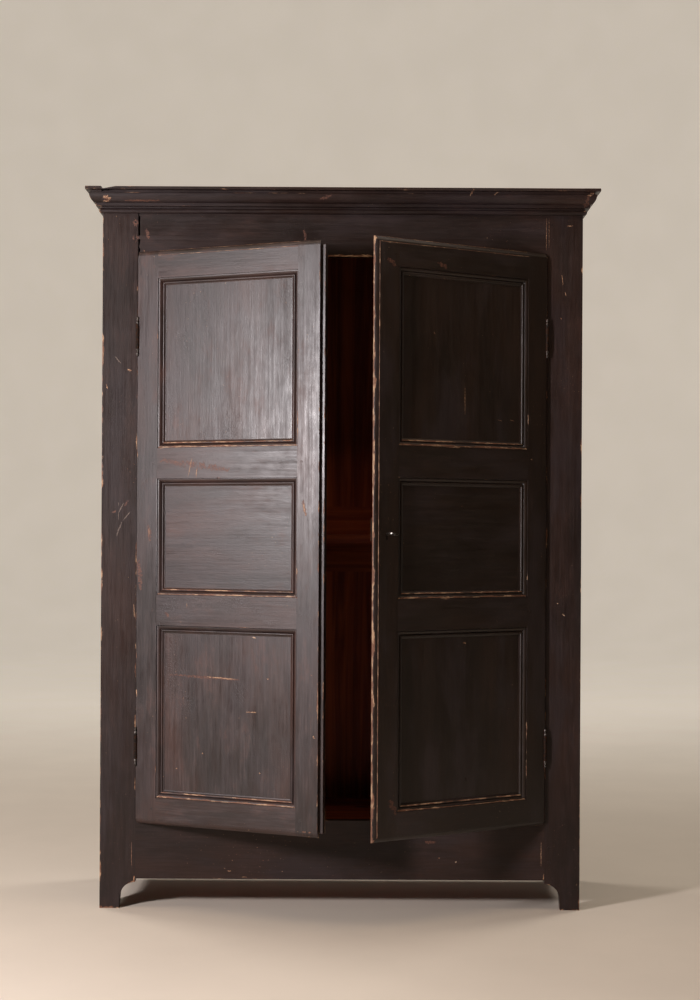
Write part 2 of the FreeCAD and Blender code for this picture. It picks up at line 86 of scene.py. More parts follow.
# Worn timber: rounding of the arrises, where the wear is measured, and what counts as a closed joint
ARRIS_ROUND = 0.0030
ARRIS_ANGLE = math.radians(35)
ARRIS_SEGMENTS = 2
FLAT_ANGLE = math.radians(0.5)
ROUND_SHARE = 0.40
TONGUE_SHARE = 1.0
DOOR_SHARE = 0.16
NEAR_INSET = 0.0025
FAR_INSET = 0.008
EDGE_REACH = 0.02
EDGE_STEP = 0.012
JOINT_REACH = 0.0007
WELD = 1e-5
NEAR = 1e-4
SHIELD = 0.0055
WEAR_SHARE = 0.10
WEAR_SHARES = {
    "right_door_meeting_stile": -1.0,
    "left_door_meeting_stile": 0.45,
    "left_stile": 0.62,
    "right_stile": 0.40,
    "cornice_front": 0.05,
    "left_cornice": 0.45,
    "right_cornice": 0.35,
    "bottom_rail": 0.32,
}
FOOT_LEVEL = 0.03
FOOT_WEAR_SHARE = 0.85
LIP_WEAR_SHARE = 1.25
MOULDED_EDGE = 0.0135
# Thin pale lines on the doors' thumbnail steps: painted highlight, partly rubbed wear
THIN_HIGHLIGHT_WEAR = 4.5
THIN_HIGHLIGHT_SHIELD = -0.0026
OPEN_JOINT = 0.0026
CROWN_NOTCH = (0.010, 0.007, 0.0055)
GRAIN_OFFSETS = (0.37, 0.71, 0.53)
GRAIN_PERIOD = 7.0

# How far each surface shines: the doors are more handled than the frame
FRAME_SHEEN = 0.28
DOOR_SHEEN = 0.44
SCUFF_SHEEN = 0.36
METAL_SHEEN = 0.06
PINE_SHEEN = 0.25

# Colours, linear
# The doors share one paint: the left door's warm tone is set lighter as painted light, and the right door's dark
# and brown tones are set darker as painted shade
SHADED_DOOR_DARK = (0.0125, 0.0068, 0.0042)
SHADED_DOOR_BROWN = (0.0210, 0.0102, 0.0058)
LIT_DOOR_WARM = (0.0470, 0.0205, 0.0152)
FRAME_DARK = (0.0148, 0.0086, 0.0072)
FRAME_BROWN = (0.0300, 0.0148, 0.0114)
PAINT_RED = (0.082, 0.0290, 0.0175)
PAINT_COOL = (0.026, 0.0175, 0.0180)
# Pale bloom, partly painted sheen on the lit left door
PAINT_BLOOM_AND_SHEEN = (0.098, 0.078, 0.080)
RUBBED = (0.110, 0.047, 0.030)
FAINT = (0.085, 0.060, 0.050)
FAINT_PALE = (0.15, 0.115, 0.095)
UNDERCOAT = (0.15, 0.066, 0.038)
BARE_WOOD = (0.38, 0.24, 0.145)
CHALK = (0.55, 0.42, 0.31)
HOLE = (0.0045, 0.0028, 0.0022)
PINE_DARK = (0.150, 0.022, 0.0100)
PINE_LIGHT = (0.385, 0.089, 0.0265)
PINE_KNOT = (0.030, 0.0055, 0.0030)
GREYED_DARK = (0.105, 0.052, 0.030)
GREYED_LIGHT = (0.235, 0.130, 0.074)
IRON_DARK = (0.012, 0.010, 0.009)
IRON_RUST = (0.040, 0.018, 0.010)
PIN_IRON = (0.15, 0.135, 0.125)
PIN_IRON_DULL = (0.030, 0.024, 0.020)
STEEL = (0.180, 0.165, 0.150)
STEEL_DULL = (0.060, 0.048, 0.037)

# Paints, each with its sheen, its dark and brown tones and its shares of red patches and pale bloom. The two doors
# have one paint: the left door's lighter tones, more red and more bloom are painted light, and the right door's
# darker tones are painted shade
PAINTS = {
    "frame_paint": (FRAME_SHEEN, FRAME_DARK, FRAME_BROWN, 0.14, 0.06),
    "left_door_paint": (DOOR_SHEEN, FRAME_DARK, LIT_DOOR_WARM, 0.42, 0.24),
    "right_door_paint": (DOOR_SHEEN, SHADED_DOOR_DARK, SHADED_DOOR_BROWN, 0.06, 0.02),
}

# Noise fields of the paint, each with its scale along and across the grain, its detail and its roughness
PAINT_FIELDS = {
    "patina": ((2.0, 7.0, 7.0), 5.0, 0.62),
    "cloud": ((7.0, 17.0, 17.0), 6.0, 0.68),
    "haze": ((3.5, 11.0, 11.0), 4.0, 0.6),
    "band": ((1.6, 20.0, 20.0), 4.0, 0.6),
    "mottle": ((30.0, 60.0, 60.0), 4.0, 0.7),
    "streak": ((2.6, 110.0, 110.0), 4.0, 0.62),
    "brush": ((9.0, 240.0, 240.0), 3.0, 0.66),
    "fine": ((70.0, 420.0, 420.0), 3.0, 0.7),
    "lines": ((11.0, 180.0, 180.0), 3.0, 0.65),
    "crackle": ((5.0, 8.0, 8.0), 3.0, 0.55),
    "rub": ((15.0, 45.0, 45.0), 5.0, 0.68),
    "bare": ((45.0, 120.0, 120.0), 2.0, 0.55),
    "speck": ((190.0, 300.0, 300.0), 1.0, 0.55),
    "speck_zone": ((4.0, 6.0, 6.0), 2.0, 0.55),
}

# Where each field sets in and is full, with the values there where they aren't 0 and 1
PATINA_SPAN = (0.36, 0.70)
HAZE_SPAN = (0.46, 0.66, 0.0, 0.75)
THIN_CLOUD_SPAN = (0.50, 0.68)
THIN_MOTTLE_SPAN = (0.38, 0.60)
LINES_SPAN = (0.38, 0.66)
BLOOM_AND_SHEEN_SPAN = (0.38, 0.62, 0.25, 1.0)
BRUSH_SPAN = (0.40, 0.62)
CRACKLE_SPAN = (0.54, 0.64)
CRACK_SPAN = (0.05, 0.0)
RUB_SPAN = (0.42, 0.74, 0.0005, 0.0075)
WORN_SPAN = (0.0007, -0.0007)
BARE_SPAN = (0.46, 0.62)
SPECK_SPAN = (0.735, 0.80)
SPECK_ZONE_SPAN = (0.42, 0.70)
BRUSH_DIMMING = (0.84, 0.83, 0.82)
CRACK_CELLS = (130.0, 210.0, 210.0)

# Roughness and relief of the paint
GLOSS_SPANS = {
    "cloud": (0.34, 0.66, 0.26, 0.33),
    "band": (0.34, 0.66, 0.0, 0.05),
    "streak": (0.36, 0.64, 0.0, 0.07),
    "brush": (0.38, 0.62, 0.0, 0.06),
    "mottle": (0.34, 0.66, 0.0, 0.06),
}
CRACK_ROUGHNESS = 0.2
WORN_ROUGHNESS = 0.66
HEIGHT_SHARES = {"streak": 0.13, "brush": 0.26, "fine": 0.22}
CRACK_DEPTH_SHARE = 0.12
WORN_DEPTH_SHARE = 0.5
PAINT_DEPTH = 0.0006

# Pine: the grain's scales, and how rings, knots and weathering show
UPRIGHT_GRAIN = (34.0, 34.0, 1.6)
LEVEL_GRAIN = (1.6, 34.0, 34.0)
BOARD_SHIFT = 2.37
BOARD_ROUND = 0.0015
PINE_RINGS = {"Scale": 1.0, "Detail": 4.0, "Roughness": 0.6, "Distortion": 1.2}
PINE_FIELD_DETAIL = 2.0
PINE_WARP_SCALE = 0.35
PINE_FINE_SCALE = 9
PINE_RING_SHARE = 0.7
PINE_WARP_SHARE = 0.3
PINE_SPAN = (0.38, 0.66)
PINE_ROUGH_SPAN = (0.3, 0.7, 0.48, 0.68)
PINE_DEPTH = 0.0004
KNOT_CELL = 3.2
KNOT_STRETCH = 0.09
KNOT_SPAN = (0.10, 0.055)
WEATHERED_DEPTHS = (0.004, 0.002)

# Metals, each with its bright and dull tones, its metallic share and its least and greatest roughness
METALS = {
    "iron": (IRON_DARK, IRON_RUST, 0.1, 0.6, 0.8),
    "pin_iron": (PIN_IRON, PIN_IRON_DULL, 0.6, 0.35, 0.6),
    "key_steel": (STEEL, STEEL_DULL, 1.0, 0.28, 0.5),
}
METAL_BLOTCH = ((160.0, 160.0, 160.0), 4.0, 0.65)
METAL_PITS = ((900.0, 900.0, 900.0), 2.0)
METAL_SPAN = (0.42, 0.62)
METAL_ROUGH_SPAN = (0.35, 0.65)
METAL_DEPTH = 0.0002
PLATE_ROUND = 0.0004

# Scuffs: how a mark is cut up and laid on the faces, and how its flake looks
SCUFF_STEP_PX = 0.9
SCUFF_LEAST_STEPS = 4
SCUFF_REACH = 0.009
SCUFF_SWELL = (0.12, 0.76)
SCUFF_RAGGEDNESS = (0.35, 1.25)
SCUFF_STRAY = 0.2
SCUFF_FIELD = (260.0, 260.0, 260.0)
SCUFF_SPAN = (0.40, 0.62)
SCUFF_ROUGH_SPAN = (0.3, 0.7)
SCUFF_ROUGH_REACH = 0.08
SCUFF_DEPTH = 0.0002

# Marks seen in the photograph: (start x, start y, end x, end y, width), all in its pixels
RUBBED_SCUFFS_PX = (
    (132.5, 222.8, 138.5, 222.8, 7.0), (132.5, 238.2, 139, 238.2, 7.0), (146, 229, 149, 239, 4.0),
    (125, 200.5, 160, 200.5, 2.2), (160, 460, 230, 470, 7.0), (148, 525, 150, 541, 4.0),
    (303, 500, 306, 516, 4.0), (138, 560, 141, 590, 5.0), (166, 612, 168, 617, 3.0),
    (304, 230, 306, 241, 3.0), (320, 199, 332, 195, 3.5), (103, 197, 111, 200, 7.0),
    (124, 506, 129, 500, 2.5), (112, 513, 116, 511, 2.5), (388, 258, 396, 266, 5.0),
    (438, 262, 447, 268, 5.0), (585, 208, 589, 196, 5.0), (425, 842, 436, 842, 4.0),
    (390, 800, 396, 815, 6.0), (170, 674.5, 240, 680, 3.0),
)
BARE_SCUFFS_PX = (
    (127.5, 369, 131.5, 370.5, 2.0), (106.2, 384, 107.4, 389, 1.4), (143.5, 250, 145, 252, 1.4),
    (103, 197, 111, 198, 4.0), (103, 201, 109, 201, 1.6), (192, 458, 188, 477, 0.8),
    (197, 468, 196, 478, 0.8), (217, 478, 220, 478, 1.2), (187, 603, 187, 607, 0.7),
    (207, 676.6, 236, 679.4, 1.3), (246, 712, 256, 712.5, 1.2), (303, 503, 306, 515, 2.4),
    (149, 528, 149, 536, 0.8), (176, 768, 177, 769, 1.4), (259, 773, 260, 774, 1.6),
    (202, 753, 203, 754, 1.2), (267, 679, 269, 679, 1.4), (136, 686, 137, 697, 0.9),
    (133.5, 604, 134.3, 617, 0.9), (313, 736, 315, 739, 1.8), (311, 675, 312, 676, 1.2),
    (227, 871, 231, 871, 1.2), (242, 877, 247, 877, 1.0), (470, 196, 474, 189, 1.6),
    (465, 388, 465, 415, 0.6), (498, 420, 502, 421, 0.8), (510, 420, 514, 421, 0.7),
    (434, 332, 435, 334, 0.9), (560, 318, 562, 319, 1.0), (565, 292, 566, 296, 0.9),
    (567, 226, 573, 226, 1.0), (562, 275, 563, 285, 0.7), (438, 858, 440, 858, 1.0),
    (463, 643, 466, 643, 2.2), (531, 459, 532, 460, 1.0), (588, 196, 594, 193, 3.2),
    (546.6, 218, 546.3, 251, 0.4), (549.2, 218, 549.0, 248, 0.35), (131.5, 842, 131.5, 866, 0.4),
    (541.0, 842, 541.0, 866, 0.7), (544, 874, 543, 880, 1.2), (584, 212, 586, 211, 1.6),
    (494, 195, 498, 192, 1.4),
)
FAINT_SCUFFS_PX = (
    (115.2, 356.5, 121.0, 363.5, 1.3), (123.7, 503, 118.4, 513, 1.3), (118.4, 513, 118.4, 520, 0.8),
    (130.2, 511.5, 123, 520.6, 1.2), (121.8, 522, 116.5, 536, 1.4), (118.4, 502, 118.4, 506, 0.9),
)
CHALK_SCUFFS_PX = (
    (455, 862, 456.5, 862, 1.3), (562, 614, 565, 616, 1.0), (557, 603, 558, 604, 0.8),
    (252.5, 637.5, 256, 638, 1.8),
)
DARK_SCUFFS_PX = (
    (307, 520, 308, 520, 1.0), (134.6, 222.5, 136.6, 222.5, 2.2), (134.8, 238, 136.8, 238, 2.2),
    (465, 777, 466, 781, 1.0), (134.8, 840, 134.8, 879, 0.5), (518, 623, 519, 623, 1.0),
    (397, 622, 398, 622, 1.0), (191, 201.5, 192, 201.5, 1.0),
)

# Kinds of scuff, each with its marks, its lift off the paint, its two colours and its roughness
SCUFFS = {
    "rubbed": (RUBBED_SCUFFS_PX, 0.00010, LIT_DOOR_WARM, RUBBED, 0.5),
    "faint": (FAINT_SCUFFS_PX, 0.00014, FAINT, FAINT_PALE, 0.5),
    "bare": (BARE_SCUFFS_PX, 0.00018, UNDERCOAT, BARE_WOOD, 0.62),
    "chalk": (CHALK_SCUFFS_PX, 0.00018, CHALK, BARE_WOOD, 0.7),
    "dark": (DARK_SCUFFS_PX, 0.00024, HOLE, FRAME_DARK, 0.7),
}

# Panel mouldings: how wide they lie on the panel, and their outline as shares of the width and of the height
MOULDING_WIDTH = 0.020
MOULDING_FILLET_SHARES = ((0.0, 0.0), (0.0, 0.60), (0.05, 0.60), (0.06, 0.95), (0.13, 0.95))
MOULDING_SPLAY_SHARES = ((0.26, 0.82), (0.38, 0.60), (0.46, 0.40), (0.50, 0.20))
MOULDING_BEAD_SHARES = ((0.66, 0.24), (0.15, 0.315))
MOULDING_FOOT_SHARES = ((0.84, 0.18), (1.0, 0.12), (1.0, 0.0))
MOULDING_BEAD_STEPS = 12
# Pale lines on the bottom member's fillet and bead crest: painted highlight, drawn as rubbed wear
CREST_HIGHLIGHT_SLOPE = 0.003
CREST_HIGHLIGHT_WEAR = 0.0008
CREST_STEPS = 4

# Ironwork details
LATHE_SIDES = 20
PIN_OUTLINE_SHARES = (
    (0.65, 0.0), (0.95, 0.10), (1.0, 0.20), (0.93, 0.30), (0.50, 0.43), (0.44, 0.50),
    (0.58, 0.57), (0.84, 0.68), (0.86, 0.77), (0.66, 0.89), (0.30, 0.97), (0.0, 1.0),
)
PIN_TIP_RADIUS = 0.0036
PIN_TIP_LENGTH = 0.019
PIN_RADIUS = 0.0020
NAIL_RADIUS = 0.0034
NAIL_RISE = 0.0011
NAIL_INSET = 0.035
NAIL_STRAY_ACROSS = 0.006
NAIL_STRAY_UP = 0.008
NAIL_LEVELS = (0.160, 0.224, 0.880, 0.960, 1.040, 1.850)
SCREW_RADIUS = 0.0031
SCREW_RISE = 0.0008
SCREW_SLOT = 0.0005
SCREW_INSET = 0.007
STUD_SIDES = 12
STUD_RING_SHARES = ((1.0, 0.0), (0.92, 0.55), (0.6, 0.88))
SLOT_SHARE = 0.2
BACKWARD = Vector((0, 1, 0))


# Node trees, and the sockets of a colour mix, which share their names with those for numbers

MIX_SHARE, MIX_FIRST, MIX_SECOND = 0, 6, 7
MIX_RESULT = 2


def link_or_set(tree, socket, value):
    """Joins a socket to another node's output, or gives it a plain value."""
    if isinstance(value, bpy.types.NodeSocket):
        tree.links.new(value, socket)
    elif isinstance(value, tuple) and len(value) == 3 and socket.type == "RGBA":
        socket.default_value = (*value, 1.0)
    else:
        socket.default_value = value


def add(tree, kind, inputs, **settings):
    """A node with its settings, and its inputs linked or set by name or number."""
    made = tree.nodes.new(kind)
    for name, value in settings.items():
        setattr(made, name, value)
    for name, value in inputs.items():
        link_or_set(tree, made.inputs[name], value)
    return made


def stretched(tree, vector, scale):
    """Coordinates or a colour, multiplied axis by axis."""
    return add(tree, "ShaderNodeVectorMath", {0: vector, 1: scale}, operation="MULTIPLY").outputs[0]


def noise(tree, vector, scale, detail=3.0, roughness=0.55):
    """A noise over coordinates that are first stretched by a scale along each axis."""
    place = stretched(tree, vector, scale)
    inputs = {"Vector": place, "Scale": 1.0, "Detail": detail, "Roughness": roughness}
    return add(tree, "ShaderNodeTexNoise", inputs).outputs["Fac"]


def span(tree, value, low, high, start=0.0, stop=1.0):
    """Maps a value smoothly from low..high to start..stop."""
    inputs = {"Value": value, "From Min": low, "From Max": high, "To Min": start, "To Max": stop}
    return add(tree, "ShaderNodeMapRange", inputs, interpolation_type="SMOOTHSTEP").outputs[0]


def math_of(tree, operation, first, second):
    """What a maths node makes of two values."""
    return add(tree, "ShaderNodeMath", {0: first, 1: second}, operation=operation).outputs[0]


def product(tree, first, second):
    """Two values multiplied."""
    return math_of(tree, "MULTIPLY", first, second)


def total(tree, values):
    """Several values added up."""
    result, *others = values
    for value in others:
        result = math_of(tree, "ADD", result, value)
    return result


def mixed(tree, share, first, second):
    """A colour between the first and the second."""
    inputs = {MIX_SHARE: share, MIX_FIRST: first, MIX_SECOND: second}
    return add(tree, "ShaderNodeMix", inputs, data_type="RGBA").outputs[MIX_RESULT]


def attribute(tree, name, output):
    """What add_wear gave the mesh under this name."""
    return add(tree, "ShaderNodeAttribute", {}, attribute_name=name).outputs[output]


def row_place(tree):
    """The place in the row frame at rest, because every piece's object sits at the origin."""
    return add(tree, "ShaderNodeTexCoord", {}).outputs["Object"]


def new_material(name):
    """A new material, its node tree and its shader."""
    material = bpy.data.materials.new(name)
    material.use_nodes = True
    tree = material.node_tree
    return material, tree, tree.nodes["Principled BSDF"]


def finish_shader(tree, shader, colour, roughness, height, depth):
    """Gives a shader its colour, roughness and relief."""
    bump = add(tree, "ShaderNodeBump", {"Height": height, "Distance": depth, "Strength": 1.0})
    link_or_set(tree, shader.inputs["Base Color"], colour)
    link_or_set(tree, shader.inputs["Roughness"], roughness)
    link_or_set(tree, shader.inputs["Normal"], bump.outputs[0])


# Materials


def painted_wood(name, sheen, dark, brown, red_share, bloom_and_sheen_share):
    """Old brush-marked paint: nearly black, thin and red-brown in places, rubbed through at the arrises."""
    material, tree, shader = new_material(name)
    shader.inputs["Specular IOR Level"].default_value = sheen
    grain = attribute(tree, "grain", "Vector")
    edge = attribute(tree, "edge", "Fac")
    fields = {field: noise(tree, grain, *settings) for field, settings in PAINT_FIELDS.items()}

    def part_of(field, reach):
        return span(tree, fields[field], *reach)

    paint = mixed(tree, part_of("patina", PATINA_SPAN), dark, brown)
    paint = mixed(tree, part_of("haze", HAZE_SPAN), paint, PAINT_COOL)
    thin = product(tree, part_of("cloud", THIN_CLOUD_SPAN), part_of("mottle", THIN_MOTTLE_SPAN))
    paint = mixed(tree, product(tree, thin, red_share), paint, PAINT_RED)
    # Pale streaks, strongest on the left door: partly a dusty bloom on the paint, partly painted sheen standing in
    # for the streaks in its shine
    bloom_and_sheen = product(tree, part_of("lines", LINES_SPAN), part_of("cloud", BLOOM_AND_SHEEN_SPAN))
    paint = mixed(tree, product(tree, bloom_and_sheen, bloom_and_sheen_share), paint, PAINT_BLOOM_AND_SHEEN)
    dimmed = stretched(tree, paint, BRUSH_DIMMING)
    paint = mixed(tree, part_of("brush", BRUSH_SPAN), dimmed, paint)

    cells = add(tree, "ShaderNodeTexVoronoi", {
        "Vector": stretched(tree, grain, CRACK_CELLS), "Scale": 1.0}, feature="DISTANCE_TO_EDGE")
    crack = span(tree, cells.outputs["Distance"], *CRACK_SPAN)
    crack = product(tree, crack, part_of("crackle", CRACKLE_SPAN))
    rubbed_in = math_of(tree, "SUBTRACT", edge, part_of("rub", RUB_SPAN))
    worn = span(tree, rubbed_in, *WORN_SPAN)
    wood = mixed(tree, part_of("bare", BARE_SPAN), UNDERCOAT, BARE_WOOD)
    specks = product(tree, part_of("speck", SPECK_SPAN), part_of("speck_zone", SPECK_ZONE_SPAN))
    colour = mixed(tree, worn, paint, wood)
    colour = mixed(tree, specks, colour, wood)

    gloss = [part_of(field, reach) for field, reach in GLOSS_SPANS.items()]
    gloss = total(tree, [*gloss, product(tree, crack, CRACK_ROUGHNESS)])
    roughness = math_of(tree, "MAXIMUM", gloss, product(tree, worn, WORN_ROUGHNESS))
    height = total(tree, [product(tree, fields[field], share) for field, share in HEIGHT_SHARES.items()])
    height = math_of(tree, "SUBTRACT", height, product(tree, crack, CRACK_DEPTH_SHARE))
    height = math_of(tree, "SUBTRACT", height, product(tree, worn, WORN_DEPTH_SHARE))
    finish_shader(tree, shader, colour, roughness, height, PAINT_DEPTH)
    return material


def scuffed(name, first, second, rough):
    """A flake of what a scuff lays bare, with streaks of a second colour."""
    material, tree, shader = new_material(name)
    shader.inputs["Specular IOR Level"].default_value = SCUFF_SHEEN
    streak = noise(tree, row_place(tree), SCUFF_FIELD)
    colour = mixed(tree, span(tree, streak, *SCUFF_SPAN), first, second)
    least, greatest = rough - SCUFF_ROUGH_REACH, rough + SCUFF_ROUGH_REACH
    roughness = span(tree, streak, *SCUFF_ROUGH_SPAN, least, greatest)
    finish_shader(tree, shader, colour, roughness, streak, SCUFF_DEPTH)
    return material


def stained_pine(name, scale, shift):
    """Stained boards with a few knots, greyed outside, their grain along the axis stretched least."""
    material, tree, shader = new_material(name)
    shader.inputs["Specular IOR Level"].default_value = PINE_SHEEN
    row = row_place(tree)
    place = add(tree, "ShaderNodeVectorMath", {0: row, 1: (shift, shift, shift)}, operation="ADD").outputs[0]
    warp = noise(tree, place, tuple(PINE_WARP_SCALE * s for s in scale), PINE_FIELD_DETAIL)
    fine = noise(tree, place, tuple(PINE_FINE_SCALE * s for s in scale), PINE_FIELD_DETAIL)
    rings = add(tree, "ShaderNodeTexNoise", {"Vector": stretched(tree, place, scale), **PINE_RINGS})
    rings = product(tree, rings.outputs["Fac"], PINE_RING_SHARE)
    tone = span(tree, total(tree, [rings, product(tree, warp, PINE_WARP_SHARE)]), *PINE_SPAN)
    stained = mixed(tree, tone, PINE_DARK, PINE_LIGHT)
    knot_scale = tuple(KNOT_CELL + KNOT_STRETCH * s for s in scale)
    cells = add(tree, "ShaderNodeTexVoronoi", {
        "Vector": stretched(tree, place, knot_scale), "Scale": 1.0, "Randomness": 1.0})
    stained = mixed(tree, span(tree, cells.outputs["Distance"], *KNOT_SPAN), stained, PINE_KNOT)
    weathered = mixed(tree, tone, GREYED_DARK, GREYED_LIGHT)
    axes = add(tree, "ShaderNodeSeparateXYZ", {0: row}).outputs
    outside = [span(tree, axes[axis], *[face - depth for depth in WEATHERED_DEPTHS])
               for axis, face in OUTER_FACES.items()]
    colour = mixed(tree, math_of(tree, "MAXIMUM", *outside), stained, weathered)
    roughness = span(tree, fine, *PINE_ROUGH_SPAN)
    finish_shader(tree, shader, colour, roughness, fine, PINE_DEPTH)
    return material


def worn_metal(name, bright, dull, metallic, low_rough, high_rough):
    """Blotched and finely pitted metal."""
    material, tree, shader = new_material(name)
    shader.inputs["Metallic"].default_value = metallic
    shader.inputs["Specular IOR Level"].default_value = METAL_SHEEN
    place = row_place(tree)
    blotch = noise(tree, place, *METAL_BLOTCH)
    pits = noise(tree, place, *METAL_PITS)
    colour = mixed(tree, span(tree, blotch, *METAL_SPAN), bright, dull)
    roughness = span(tree, blotch, *METAL_ROUGH_SPAN, low_rough, high_rough)
    finish_shader(tree, shader, colour, roughness, pits, METAL_DEPTH)
    return material


# Surfaces of the frame


def door_turn(joint, sign):
    """A door's turn at rest: its joint counts from rest, so its low limit is the shut door."""
    return Matrix.Rotation(sign * math.radians(joint["range_deg"][0]), 3, "Z")


TURNS = {
    "carcass": Matrix.Identity(3),
    "left_door": door_turn(joints["left_door_swing"], 1),
    "right_door": door_turn(joints["right_door_swing"], -1),
}


def surfaces(names):
    """A search tree over the CAD surfaces of some nodes, with the node that each face belongs to."""
    points, faces, owners = [], [], []
    for name in names:
        mesh = frame["nodes"][name].data
        start = len(points)
        points += [vertex.co.copy() for vertex in mesh.vertices]
        faces += [[start + index for index in polygon.vertices] for polygon in mesh.polygons]
        owners += [name] * len(mesh.polygons)
    return BVHTree.FromPolygons(points, faces), owners


def own_box(node, turn):
    """The node's lowest and highest corners in the axes of its own body."""
    points = np.array([turn.inverted() @ vertex.co for vertex in frame["nodes"][node].data.vertices])
    return points.min(axis=0), points.max(axis=0)


ACROSS, INWARD, UP = range(3)
LOW, HIGH = range(2)
SURFACES = {body: surfaces(members[body]) for body in TURNS}
BOXES = {body: {node: own_box(node, turn) for node in members[body]} for body, turn in TURNS.items()}
ALL_SURFACES = surfaces(list(frame["nodes"]))
OUTER_FACES = {
    "Y": max(high[INWARD] for node, (_, high) in BOXES["carcass"].items() if node.startswith("back_board")),
    "Z": BOXES["carcass"]["top_board"][HIGH][UP],
}


# Timber


def in_joint(node, body, place):
    """Whether another member of the same body closes on the node here, so that nothing rubs."""
    tree, owners = SURFACES[body]
    hits = tree.find_nearest_range(TURNS[body] @ place, JOINT_REACH)
    return any(owners[index] != node for _, _, index, _ in hits)


def arrises(bm):
    """The sharp outward edges, as (start, end) pairs."""
    found = []
    for edge in bm.edges:
        if len(edge.link_faces) == 2 and edge.calc_face_angle_signed(0.0) > ARRIS_ANGLE:
            found.append(tuple(vertex.co.copy() for vertex in edge.verts))
    return found


def exposed(lines, node, body):
    """The stretches of the arrises that are in the open."""
    stretches = []
    for start, end in lines:
        count = max(1, round((end - start).length / EDGE_STEP))
        marks = [start.lerp(end, step / count) for step in range(count + 1)]
        first = None
        for here, there in zip(marks, marks[1:]):
            if in_joint(node, body, (here + there) / 2):
                if first is not None:
                    stretches.append((first, here))
                first = None
            elif first is None:
                first = here
        if first is not None:
            stretches.append((first, end))
    return stretches


def cut_levels(node, body, lines, axis):
    """The levels that divide faces across an axis: in from each arris, and where another member ends."""
    levels = set()
    for start, end in lines:
        if abs(start[axis] - end[axis]) < NEAR:
            for inset in (NEAR_INSET, FAR_INSET):
                levels.update(round(start[axis] + side * inset, 4) for side in (-1, 1))
    low, high = BOXES[body][node]
    for other, (other_low, other_high) in BOXES[body].items():
        near = np.all(other_low < high + JOINT_REACH) and np.all(other_high > low - JOINT_REACH)
        if near and other != node and not other.endswith(("pegs", "moulding", "leaves", "pins")):
            levels.update(round(level, 5) for level in (other_low[axis], other_high[axis]))
    return [level for level in sorted(levels) if low[axis] + WELD < level < high[axis] - WELD]


def wear_share(node, start, end):
    """How hard an arris has been rubbed."""
    if max(start.z, end.z) < FOOT_LEVEL:
        return FOOT_WEAR_SHARE
    if node == "right_door_meeting_stile":
        free_side = BOXES["right_door"][node][LOW][ACROSS]
        if max(start.x, end.x) < free_side + NEAR_INSET:
            return LIP_WEAR_SHARE
    if node == "top_rail" and max(start.z, end.z) < BOXES["carcass"][node][LOW][UP] + NEAR_INSET:
        return LIP_WEAR_SHARE
    return WEAR_SHARES.get(node, WEAR_SHARE)


def thin_highlight_wear(node, start, end):
    """Whether an arris gets only a thin pale line, as on the doors' tops and the lip's step: painted highlight
    where the step catches the light, partly rubbed wear.
    """
    if node in ("left_door_top_rail", "right_door_top_rail"):
        top = BOXES[body_of[node]][node][HIGH][UP]
        return min(start.z, end.z) > top - MOULDED_EDGE
    if node == "right_door_meeting_stile":
        low, high = BOXES["right_door"][node]
        across = max(start.x, end.x)
        on_step = low[ACROSS] + NEAR_INSET < across < low[ACROSS] + MOULDED_EDGE
        return on_step or min(start.z, end.z) > high[UP] - MOULDED_EDGE
    return False


def edge_distances(points, node, lines):
    """How far each point is from the nearest open arris, counted further where the arris is less rubbed."""
    nearest = np.full(len(points), EDGE_REACH)
    for start, end in lines:
        thin = thin_highlight_wear(node, start, end)
        shield = THIN_HIGHLIGHT_SHIELD if thin else SHIELD * (1 - wear_share(node, start, end))
        start, run = np.array(start), np.array(end - start)
        along = np.clip((points - start) @ run / max(run @ run, WELD ** 2), 0, 1)
        away = np.linalg.norm(points - start - along[:, None] * run, axis=1)
        nearest = np.minimum(nearest, away * (THIN_HIGHLIGHT_WEAR if thin else 1.0) + shield)
    return nearest


def divided(node, body):
    """The node's mesh in its body's own axes, welded and cut a little in from its arrises."""
    bm = bmesh.new()
    bm.from_mesh(frame["nodes"][node].data)
    bmesh.ops.remove_doubles(bm, verts=bm.verts, dist=WELD)
    bmesh.ops.dissolve_limit(bm, angle_limit=FLAT_ANGLE, verts=bm.verts, edges=bm.edges)
    bmesh.ops.rotate(bm, verts=bm.verts, matrix=TURNS[body].inverted())
    lines = arrises(bm)
    for axis in range(3):
        normal = Vector([float(i == axis) for i in range(3)])
        for level in cut_levels(node, body, lines, axis):
            everything = bm.verts[:] + bm.edges[:] + bm.faces[:]
            bmesh.ops.bisect_plane(bm, geom=everything, plane_co=normal * level, plane_no=normal, dist=WELD)
    return bm, exposed(lines, node, body)


def round_share(node, edge):
    """How far an open arris is rounded: little on the doors, but for the left door's tongue."""
    if node == "left_door_meeting_stile":
        free_side = BOXES["left_door"][node][HIGH][ACROSS]
        if min(vertex.co.x for vertex in edge.verts) > free_side - NEAR:
            return TONGUE_SHARE
    return DOOR_SHARE if "_door_" in node else ROUND_SHARE


def mark_arrises(bm, node, body):
    """Weights each open arris for rounding, and keeps every sharp edge sharp."""
    weight = bm.edges.layers.float.new("bevel_weight_edge")
    for edge in bm.edges:
        edge.smooth = edge.calc_face_angle(0.0) < ARRIS_ANGLE
        if edge.calc_face_angle_signed(0.0) > ARRIS_ANGLE:
            middle = (edge.verts[0].co + edge.verts[1].co) / 2
            edge[weight] = 0.0 if in_joint(node, body, middle) else round_share(node, edge)


